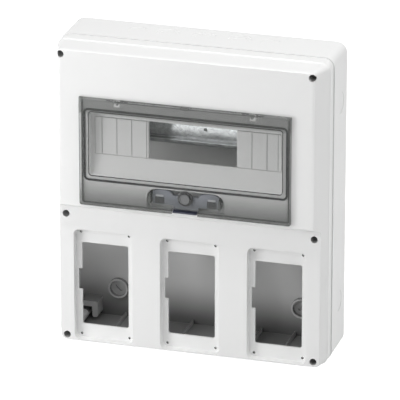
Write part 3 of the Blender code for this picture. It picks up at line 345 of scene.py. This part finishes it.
finishes = {
    "whiteShell": {
        "color": (0.86, 0.862, 0.858),
        "roughness": 0.42,
        "grain": 0.08,
        "mottle": 0.02,
    },
    # inside the box the white plastic is painted in greys as shade: darker walls, darker still on
    # low floors and ring walls, a back wall that darkens towards its foot, and ring tops in between
    "paintedShadeInner": {"color": (0.55, 0.55, 0.55), "roughness": 0.6, "grain": 0.1, "mottle": 0.04},
    "shadeInner": {"color": (0.27, 0.27, 0.27), "roughness": 0.6, "grain": 0.1, "mottle": 0.04},
    "paintedShadeBack": {
        "color": (0.75, 0.752, 0.748),
        "roughness": 0.6,
        "grain": 0.1,
        "mottle": 0.04,
        "shade": {"low": -0.182, "high": -0.125, "dark": 0.2},
    },
    "paintedShadeRingTop": {"color": (0.7, 0.7, 0.7), "roughness": 0.6, "grain": 0.1, "mottle": 0.04},
    # painted shade in the screw bores and the small seat holes
    "paintedShadeBore": {"color": (0.5, 0.5, 0.5), "roughness": 0.6, "grain": 0.1},
    "paintedShadeHole": {"color": (0.06, 0.06, 0.06), "roughness": 0.6, "grain": 0.1},
    "greyGasket": {"color": (0.4, 0.4, 0.41), "roughness": 0.65, "grain": 0.2, "mottle": 0.1},
    # painted shade in the scored grooves
    "paintedShadeScore": {"color": (0.5, 0.5, 0.5), "roughness": 0.7, "grain": 0.1},
    "smokedPane": {
        "color": (0.096, 0.103, 0.096),
        "roughness": 0.07,
        "grain": 0.01,
        "polish": 0.04,
        # the deeper tint round the window is partly painted shade on the cover behind
        "smoke": {
            "low": -0.0034,
            "high": 0.1261,
            # share of the height, depth there
            "depth": (
                (0.0, 0.66),
                (0.009, 0.66),
                (0.013, 0.43),
                (0.19, 0.21),
                (0.225, 0.145),
                (0.845, 0.145),
                (0.865, 0.33),
                (1.0, 0.36),
            ),
            "borderFrom": (0.1185, 0.1195),
            "border": 0.08,
            "spotCorner": 0.4,
            "spotFade": (1.2, 0.7),
            # hinge noses that show through the barrel, drawn as a painted highlight with painted
            # shade at and above them in their slots, the latch, under a lighter patch that thins the
            # painted shade of the band, and the door's ears seen on end
            "spots": {
                "wedge": {"at": (0.079, 0.1195), "half": (0.0034, 0.0022), "change": -0.34},
                "core": {"at": (0.0785, 0.1208), "half": (0.0014, 0.0011), "change": 0.6},
                "bar": {"at": (0.0785, 0.1238), "half": (0.003, 0.0011), "change": 0.45},
                "latch": {"at": (0.0, 0.0105), "half": (0.036, 0.015), "change": -0.13},
                "ear": {"at": (0.0407, 0.01295), "half": (0.001, 0.0064), "change": 0.6},
            },
        },
    },
    "smokedEdge": {
        "color": (0.05, 0.052, 0.05),
        "roughness": 0.15,
        "alpha": 0.75,
        "grain": 0.01,
        "polish": 0.04,
    },
    "blackRubber": {"color": (0.03, 0.03, 0.032), "roughness": 0.65, "grain": 0.2, "mottle": 0.2},
    "navyLatch": {"color": (0.26, 0.275, 0.31), "roughness": 0.34, "grain": 0.05, "mottle": 0.1},
    # painted shade in the finger wells
    "paintedShadeWell": {"color": (0.05, 0.05, 0.055), "roughness": 0.5, "grain": 0.05, "mottle": 0.1},
    "navyLip": {"color": (0.013, 0.017, 0.038), "roughness": 0.36, "grain": 0.05, "mottle": 0.1},
    # painted highlight on the latch ridges
    "paintedHighlightRidge": {"color": (0.6, 0.61, 0.63), "roughness": 0.3, "grain": 0.05, "mottle": 0.1},
    "greyPlug": {"color": (0.15, 0.153, 0.155), "roughness": 0.38, "grain": 0.05, "mottle": 0.1},
    "darkRing": {"color": (0.03, 0.03, 0.032), "roughness": 0.4, "grain": 0.05, "mottle": 0.1},
    "galvanised": {
        "color": (0.9, 0.93, 0.94),
        "roughness": 0.2,
        "metallic": 1.0,
        "mottle": 0.25,
        "mottleScale": 60,
        "polish": 0.2,
        "spangle": {"scale": 420, "dark": 0.72},
    },
    # painted shade on the rail's steps
    "paintedShadeZinc": {
        "color": (0.2, 0.205, 0.21),
        "roughness": 0.3,
        "metallic": 1.0,
        "mottle": 0.2,
        "polish": 0.2,
    },
    "screwSteel": {"color": (0.36, 0.36, 0.37), "roughness": 0.4, "metallic": 1.0, "mottle": 0.2},
}
paints = {name: mouldedPaint(name, look) for name, look in finishes.items()}
print("finishes made:", len(paints))


# which faces of a moulding take another paint
facing = 0.5  # a face looks along an axis if that part of its normal is longer


def isWall(face):
    return abs(face.normal.y) < facing


# rear base: inside its walls, and the rings round its wall fixings, which take painted shade
baseZones = {
    "insideX": 0.1578,
    "insideZ": 0.1808,
    "insideY": -0.002,
    "cornerX": 0.147,
    "cornerZ": 0.17,
    "shadeBelow": -0.12,
    "ringSpots": [(x, z) for x in (-0.11, 0.11) for z in (-0.145, 0.145)],
    "ringReach": 0.0128,
    "ringTop": -0.0085,
    "ringFoot": -0.0075,
}


def facesInsideBase(face):
    spot = face.calc_center_median()
    within = abs(spot.x) < baseZones["insideX"] and abs(spot.z) < baseZones["insideZ"]
    corner = abs(spot.x) > baseZones["cornerX"] and abs(spot.z) > baseZones["cornerZ"]
    outward = corner and face.normal.dot(spot) > 0
    return within and spot.y < baseZones["insideY"] and not outward and isWall(face)


def facesOnRing(face):
    # walls of the rings, and of the slots in them
    spot = face.calc_center_median()
    away = min(math.hypot(spot.x - x, spot.z - z) for x, z in baseZones["ringSpots"])
    return away < baseZones["ringReach"] and spot.y > baseZones["ringTop"] and isWall(face)


def facesInShade(face):
    spot = face.calc_center_median()
    low = face.normal.z > facing and spot.z < baseZones["shadeBelow"]
    return facesOnRing(face) or (low and facesInsideBase(face))


def facesOnBack(face):
    return face.normal.y < -facing and face.calc_center_median().y > baseZones["ringFoot"]


def facesOnRim(face):
    # tops of the rings, in a painted grey between the white shell and the shade at the wall's foot
    depth = face.calc_center_median().y
    return face.normal.y < -facing and baseZones["ringTop"] < depth < baseZones["ringFoot"]


# front cover: its back, its deep screw holes and the small holes in its seats, all painted darker as
# shade
coverZones = {
    "backFrom": 0.3,
    "boreReach": 0.0056,
    "holeArea": 0.0000025,
    "holeFront": -0.0795,
    "holeBack": -0.076,
}
screwSpots = []
for name in nodes:
    if name.startswith("cover_screw"):
        low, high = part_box(name)
        screwSpots.append(((low[0] + high[0]) / 2, (low[2] + high[2]) / 2))


def facesBehindCover(face):
    return face.normal.y > coverZones["backFrom"]


def facesInBore(face):
    spot = face.calc_center_median()
    for x, z in screwSpots:
        inward = face.normal.x * (x - spot.x) + face.normal.z * (z - spot.z) > 0
        near = math.hypot(spot.x - x, spot.z - z) < coverZones["boreReach"]
        if inward and near and isWall(face):
            return True
    return False


def facesInSmallHole(face):
    small = face.calc_area() < coverZones["holeArea"]
    depth = face.calc_center_median().y
    return small and coverZones["holeFront"] < depth < coverZones["holeBack"] and isWall(face)


# window door: its edges and the rib behind it, and the grip slot at its top, whose floor is painted
# dark as shade
doorZones = {
    "ribFront": -0.1057,
    "ribBelow": 0.118,
    "gripHalf": 0.0046,
    "gripLow": 0.1222,
    "gripHigh": 0.1245,
    "gripFront": -0.1079,
}


def facesRoundPane(face):
    spot = face.calc_center_median()
    rib = spot.y > doorZones["ribFront"] and spot.z < doorZones["ribBelow"]
    across = abs(spot.x) < doorZones["gripHalf"] and spot.y > doorZones["gripFront"]
    grip = across and doorZones["gripLow"] < spot.z < doorZones["gripHigh"]
    return isWall(face) or rib or grip


# latch handle: its two finger wells, painted dark as shade, and its lip
latchZones = {"wellFacing": 0.9, "wellFloor": -0.102, "wellWithin": 0.0001, "lipFront": -0.1026}


def facesInWell(face):
    level = abs(face.calc_center_median().y - latchZones["wellFloor"]) < latchZones["wellWithin"]
    return level and face.normal.y < -latchZones["wellFacing"]


def facesOnLip(face):
    return face.calc_center_median().y < latchZones["lipFront"]


# blank strips: the lines scored at each module, painted grey as shade in the grooves
stripZones = {"scoreFront": -0.0938, "scoreBack": -0.0929}


def facesInScore(face):
    depth = face.calc_center_median().y
    return stripZones["scoreFront"] < depth < stripZones["scoreBack"]


# rail: the steps between its face and its flanges, painted dark as shade
railZones = {"stepFacing": 0.7, "stepFront": -0.0505}


def facesOnStep(face):
    behind = face.calc_center_median().y > railZones["stepFront"]
    return behind and abs(face.normal.z) > railZones["stepFacing"]


# moulded pieces: the CAD solid with its sharp edges rounded where there is room, and its paints
blankStrip = {
    "round": 0.0002,
    "paint": "whiteShell",
    "slot": "white_shell",
    "body": "box",
    "extra": {"paintedShadeScore": facesInScore},
}
moulded = {
    "front_cover": {
        "round": 0.0006,
        "paint": "whiteShell",
        "slot": "white_shell",
        "body": "box",
        "crowded": screwSpots + [(-0.1435, -0.005), (0.1435, -0.005)],  # edges near these stay sharp
        "flat": (-0.0752, -0.0725),  # and so do edges that end between these depths
        "extra": {
            "paintedShadeInner": facesBehindCover,
            "paintedShadeBore": facesInBore,
            "paintedShadeHole": facesInSmallHole,
        },
    },
    "rear_base": {
        "round": 0.0006,
        "paint": "whiteShell",
        "slot": "white_shell",
        "body": "box",
        "extra": {
            "shadeInner": facesInShade,
            "paintedShadeInner": facesInsideBase,
            "paintedShadeBack": facesOnBack,
            "paintedShadeRingTop": facesOnRim,
        },
    },
    "blank_strip_left": blankStrip,
    "blank_strip_right": blankStrip,
    "din_rail": {
        "round": 0.0008,
        "paint": "galvanised",
        "slot": "galvanised_steel",
        "body": "box",
        "extra": {"paintedShadeZinc": facesOnStep},
    },
    "window_door": {
        "round": 0.0003,
        "paint": "smokedPane",
        "slot": "smoked_plastic",
        "body": "door",
        "extra": {"smokedEdge": facesRoundPane},
    },
    "door_seal": {
        "round": 0.0005,
        "paint": "blackRubber",
        "slot": "black_rubber",
        "body": "door",
    },
    "latch_handle": {
        "round": 0.0004,
        "paint": "navyLatch",
        "slot": "navy_plastic",
        "body": "latch",
        "extra": {"paintedShadeWell": facesInWell, "navyLip": facesOnLip},
    },
}
mergeWithin = 0.000002
rounding = {
    "flatWithin": math.radians(0.3),  # faces this near to one plane are joined
    "sharpFrom": math.radians(35),
    "steps": 2,
    "roomNeeded": 2.2,  # times the radius, beside an edge and at its ends
    "crowdedWithin": 0.01,
}


def makeMoulded(node, look):
    mesh = nodes[node].data.copy()
    mesh.name = node + "Moulded"
    shape = bmesh.new()
    shape.from_mesh(mesh)
    bmesh.ops.remove_doubles(shape, verts=shape.verts, dist=mergeWithin)
    bmesh.ops.dissolve_limit(
        shape,
        angle_limit=rounding["flatWithin"],
        verts=shape.verts,
        edges=shape.edges,
        delimit={"NORMAL"},
    )
    extra = look.get("extra", {})
    for face in shape.faces:
        chosen = [index for index, where in enumerate(extra.values(), 1) if where(face)]
        face.material_index = chosen[0] if chosen else 0
    bmesh.ops.bevel(
        shape,
        geom=pickEdges(shape, look),
        affect="EDGES",
        offset=look["round"],
        segments=rounding["steps"],
        profile=0.5,
        material=-1,
        clamp_overlap=False,
    )
    bmesh.ops.dissolve_degenerate(shape, dist=mergeWithin, edges=shape.edges)
    shape.normal_update()
    for face in shape.faces:
        face.smooth = True
    for edge in shape.edges:
        edge.smooth = edge.calc_face_angle(0) < rounding["sharpFrom"]
    mesh.materials.clear()
    for paint in (look["paint"], *extra):
        mesh.materials.append(paints[paint])
    shape.to_mesh(mesh)
    shape.free()
    piece = addObject(node + "Moulded", mesh)
    even = piece.modifiers.new("flatFaces", "WEIGHTED_NORMAL")  # broad faces stay flat
    even.keep_sharp = True
    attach(piece, look["body"])
    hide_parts(node)


def pickEdges(shape, look):
    # sharp edges with room for the rounding beside them and at both ends
    least = rounding["roomNeeded"] * look["round"]
    crowded = look.get("crowded", ())
    picked = []
    for edge in shape.edges:
        if len(edge.link_faces) != 2 or edge.calc_face_angle() < rounding["sharpFrom"]:
            continue
        if "flat" in look:
            front, back = look["flat"]
            if any(front < point.co.y < back for point in edge.verts):
                continue
        around = [near.calc_length() for point in edge.verts for near in point.link_edges]
        if min(around) < least or roomBeside(edge) < least:
            continue
        ends = [(point.co.x, point.co.z) for point in edge.verts]
        spaces = [math.dist(end, spot) for end in ends for spot in crowded]
        if all(space > rounding["crowdedWithin"] for space in spaces):
            picked.append(edge)
    return picked


def roomBeside(edge):
    # how near the other edges of its two faces come
    first, second = edge.verts
    room = 1.0
    for face in edge.link_faces:
        for other in face.edges:
            if first in other.verts or second in other.verts:
                continue
            pairs = [(point, edge) for point in other.verts] + [(first, other), (second, other)]
            for point, line in pairs:
                start, end = (corner.co for corner in line.verts)
                along = intersect_point_line(point.co, start, end)[1]
                nearest = start.lerp(end, min(1, max(0, along)))
                room = min(room, (point.co - nearest).length)
    return room


def addPiece(name, shape, *paintNames):
    # a finished bmesh becomes an object with its paints
    mesh = bpy.data.meshes.new(name)
    shape.to_mesh(mesh)
    shape.free()
    for paint in paintNames:
        mesh.materials.append(paints[paint])
    return addObject(name, mesh)


# inner rib: a thin frame on the back of the pane, just inside the seal
innerRib = {
    "half": 0.1136,
    "low": 0.0316,
    "high": 0.1092,
    "corner": 0.004,
    "cornerSteps": 6,
    "wide": 0.0008,
    "front": -0.10595,
    "deep": 0.0013,
}


def makeInnerRib():
    shape = bmesh.new()
    bmesh.ops.create_grid(shape, x_segments=1, y_segments=1, size=1)
    middle = (innerRib["low"] + innerRib["high"]) / 2
    halfHeight = (innerRib["high"] - innerRib["low"]) / 2
    upright = Matrix.Rotation(math.pi / 2, 3, "X")
    bmesh.ops.scale(shape, verts=shape.verts, vec=(innerRib["half"], halfHeight, 1))
    bmesh.ops.rotate(shape, verts=shape.verts, cent=(0, 0, 0), matrix=upright)
    bmesh.ops.translate(shape, verts=shape.verts, vec=(0, innerRib["front"], middle))
    bmesh.ops.bevel(
        shape,
        geom=shape.verts[:],
        affect="VERTICES",
        offset=innerRib["corner"],
        segments=innerRib["cornerSteps"],
        profile=0.5,
        material=-1,
    )
    inside = shape.faces[:]
    bmesh.ops.inset_region(
        shape, faces=inside, thickness=innerRib["wide"], use_boundary=True, use_even_offset=True
    )
    bmesh.ops.delete(shape, geom=inside, context="FACES")
    walls = bmesh.ops.extrude_face_region(shape, geom=shape.faces[:], use_keep_orig=True)
    moved = [part for part in walls["geom"] if isinstance(part, bmesh.types.BMVert)]
    bmesh.ops.translate(shape, verts=moved, vec=(0, innerRib["deep"], 0))
    bmesh.ops.recalc_face_normals(shape, faces=shape.faces)
    piece = addPiece("paneInnerRib", shape, "smokedEdge")
    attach(piece, "door")


# latch ridges: a sloping nib above each finger well, painted pale as a highlight
ridge = {
    "at": (0.0305, 0.0154),
    "half": (0.0045, 0.0011),
    "foot": -0.1024,
    "rise": 0.0006,
    "slope": 0.8,  # share of the rise that its upper edge falls back
    "round": 0.0002,
    "roundSteps": 2,
}


def makeRidges():
    shape = bmesh.new()
    across, up = ridge["half"]
    for side in (-1, 1):
        block = bmesh.ops.create_cube(shape, size=2)["verts"]
        bmesh.ops.scale(shape, verts=block, vec=(across, ridge["rise"] / 2, up))
        middle = (side * ridge["at"][0], ridge["foot"] - ridge["rise"] / 2, ridge["at"][1])
        bmesh.ops.translate(shape, verts=block, vec=middle)
        upper = [point for point in block if point.co.z > middle[2] and point.co.y < middle[1]]
        bmesh.ops.translate(shape, verts=upper, vec=(0, ridge["slope"] * ridge["rise"], 0))
    bmesh.ops.bevel(
        shape,
        geom=shape.edges[:],
        affect="EDGES",
        offset=ridge["round"],
        segments=ridge["roundSteps"],
        profile=0.5,
        material=-1,
    )
    bmesh.ops.recalc_face_normals(shape, faces=shape.faces)
    piece = addPiece("latchRidges", shape, "paintedHighlightRidge")
    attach(piece, "latch")


# lock plug: a turned disc in the pane, with a dark ring behind it
plug = {
    "steps": 48,
    "sharpFrom": math.radians(40),
    # radius, distance behind the plug's front
    "disc": (
        (0.0, 0.0006),
        (0.0046, 0.0006),
        (0.0049, 0.0001),
        (0.0057, 0.0),
        (0.0061, 0.0004),
        (0.0061, 0.0026),
    ),
    "ring": ((0.0085, 0.0027), (0.0089, 0.003), (0.0089, 0.0041), (0.0, 0.0041)),
}


def makePlug():
    low, high = (Vector(corner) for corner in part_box("lock_plug"))
    middle = (low + high) / 2
    shape = bmesh.new()
    profile = plug["disc"] + plug["ring"]
    points = [shape.verts.new((middle.x + out, low.y + back, middle.z)) for out, back in profile]
    for first, second in zip(points, points[1:]):
        shape.edges.new((first, second))
    bmesh.ops.spin(
        shape,
        geom=shape.verts[:] + shape.edges[:],
        cent=middle,
        axis=(0, 1, 0),
        angle=2 * math.pi,
        steps=plug["steps"],
        use_merge=True,
    )
    bmesh.ops.remove_doubles(shape, verts=shape.verts, dist=mergeWithin)
    bmesh.ops.recalc_face_normals(shape, faces=shape.faces)
    ringFrom = low.y + plug["disc"][-1][1]
    for face in shape.faces:
        face.material_index = 1 if face.calc_center_median().y > ringFrom else 0
    piece = addPiece("lockPlug", shape, "greyPlug", "darkRing")
    piece.data.shade_smooth()
    piece.data.set_sharp_from_angle(angle=plug["sharpFrom"])
    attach(piece, "door")
    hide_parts("lock_plug")


# gasket, screws and pins keep their CAD shape
keptPaints = {"screw": "screwSteel", "pin": "screwSteel", "gasket": "greyGasket"}


def paintKept():
    for name, node in nodes.items():
        for word, paint in keptPaints.items():
            if word in name:
                node.data.materials.clear()
                node.data.materials.append(paints[paint])


makeCamera()
makeRoom()
makeFloor()
makeLamps()
print("camera and studio made")
for node, look in moulded.items():
    makeMoulded(node, look)
print("mouldings made:", len(moulded))
makeInnerRib()
makeRidges()
makePlug()
print("rib, ridges and plug made")
paintKept()
print("small pieces painted")
